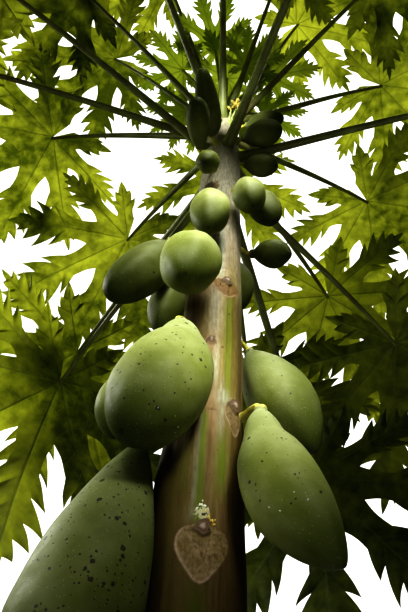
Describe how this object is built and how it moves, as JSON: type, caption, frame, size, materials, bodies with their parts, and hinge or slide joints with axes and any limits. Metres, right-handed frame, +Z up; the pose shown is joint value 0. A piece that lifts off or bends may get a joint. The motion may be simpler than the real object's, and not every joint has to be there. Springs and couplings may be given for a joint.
{
  "type": "papaya tree",
  "caption": "Single-stemmed fruiting papaya tree: bare tapering trunk with a flared foot, hanging fruit under an umbrella crown of long-stalked, deeply cut leaves.",
  "frame": {"origin": "centre of the flat cut under the trunk, at ground level", "axes": "+Z up along the trunk; -Y towards the side that the picture shows; +X to that view's right"},
  "size_m": [1.9454, 1.9064, 3.4652],
  "materials": {
    "bark": "smooth grey-tan bark with vertical streaks, pits and leaf scars",
    "leaf_stalk": "smooth green to brown-green stalk, slightly glossy",
    "leaf": "thin matt green blade, lit through from above",
    "fruit": "waxy green skin with small brown specks",
    "young_growth": "tender pale green young leaves and buds"
  },
  "bodies": {
    "root": {"trunk": "bark", "growing_tip": "young_growth", "fruit_01": "fruit", "fruit_02": "fruit", "fruit_03": "fruit", "fruit_04": "fruit", "fruit_05": "fruit", "fruit_06": "fruit", "fruit_07": "fruit", "fruit_08": "fruit", "fruit_09": "fruit", "fruit_10": "fruit", "fruit_11": "fruit", "fruit_12": "fruit", "fruit_13": "fruit", "fruit_14": "fruit", "fruit_15": "fruit", "fruit_16": "fruit", "fruit_17": "fruit", "fruit_18": "fruit", "fruit_19": "fruit", "fruit_20": "fruit", "leaf_stalk_01": "leaf_stalk", "leaf_stalk_02": "leaf_stalk", "leaf_stalk_03": "leaf_stalk", "leaf_stalk_04": "leaf_stalk", "leaf_stalk_05": "leaf_stalk", "leaf_stalk_06": "leaf_stalk", "leaf_stalk_07": "leaf_stalk", "leaf_stalk_08": "leaf_stalk", "leaf_stalk_09": "leaf_stalk", "leaf_stalk_10": "leaf_stalk", "leaf_stalk_11": "leaf_stalk", "leaf_stalk_12": "leaf_stalk", "leaf_stalk_13": "leaf_stalk", "leaf_stalk_14": "leaf_stalk", "leaf_stalk_15": "leaf_stalk", "leaf_blade_01": "leaf", "leaf_blade_02": "leaf", "leaf_blade_03": "leaf", "leaf_blade_04": "leaf", "leaf_blade_05": "leaf", "leaf_blade_06": "leaf", "leaf_blade_07": "leaf", "leaf_blade_08": "leaf", "leaf_blade_09": "leaf", "leaf_blade_10": "leaf", "leaf_blade_11": "leaf", "leaf_blade_12": "leaf", "leaf_blade_13": "leaf", "leaf_blade_14": "leaf", "leaf_blade_15": "leaf", "leaf_16": "leaf", "leaf_17": "leaf", "leaf_18": "leaf", "leaf_19": "leaf", "leaf_20": "leaf", "leaf_21": "leaf", "leaf_22": "leaf", "leaf_23": "leaf"}
  },
  "joints": []
}
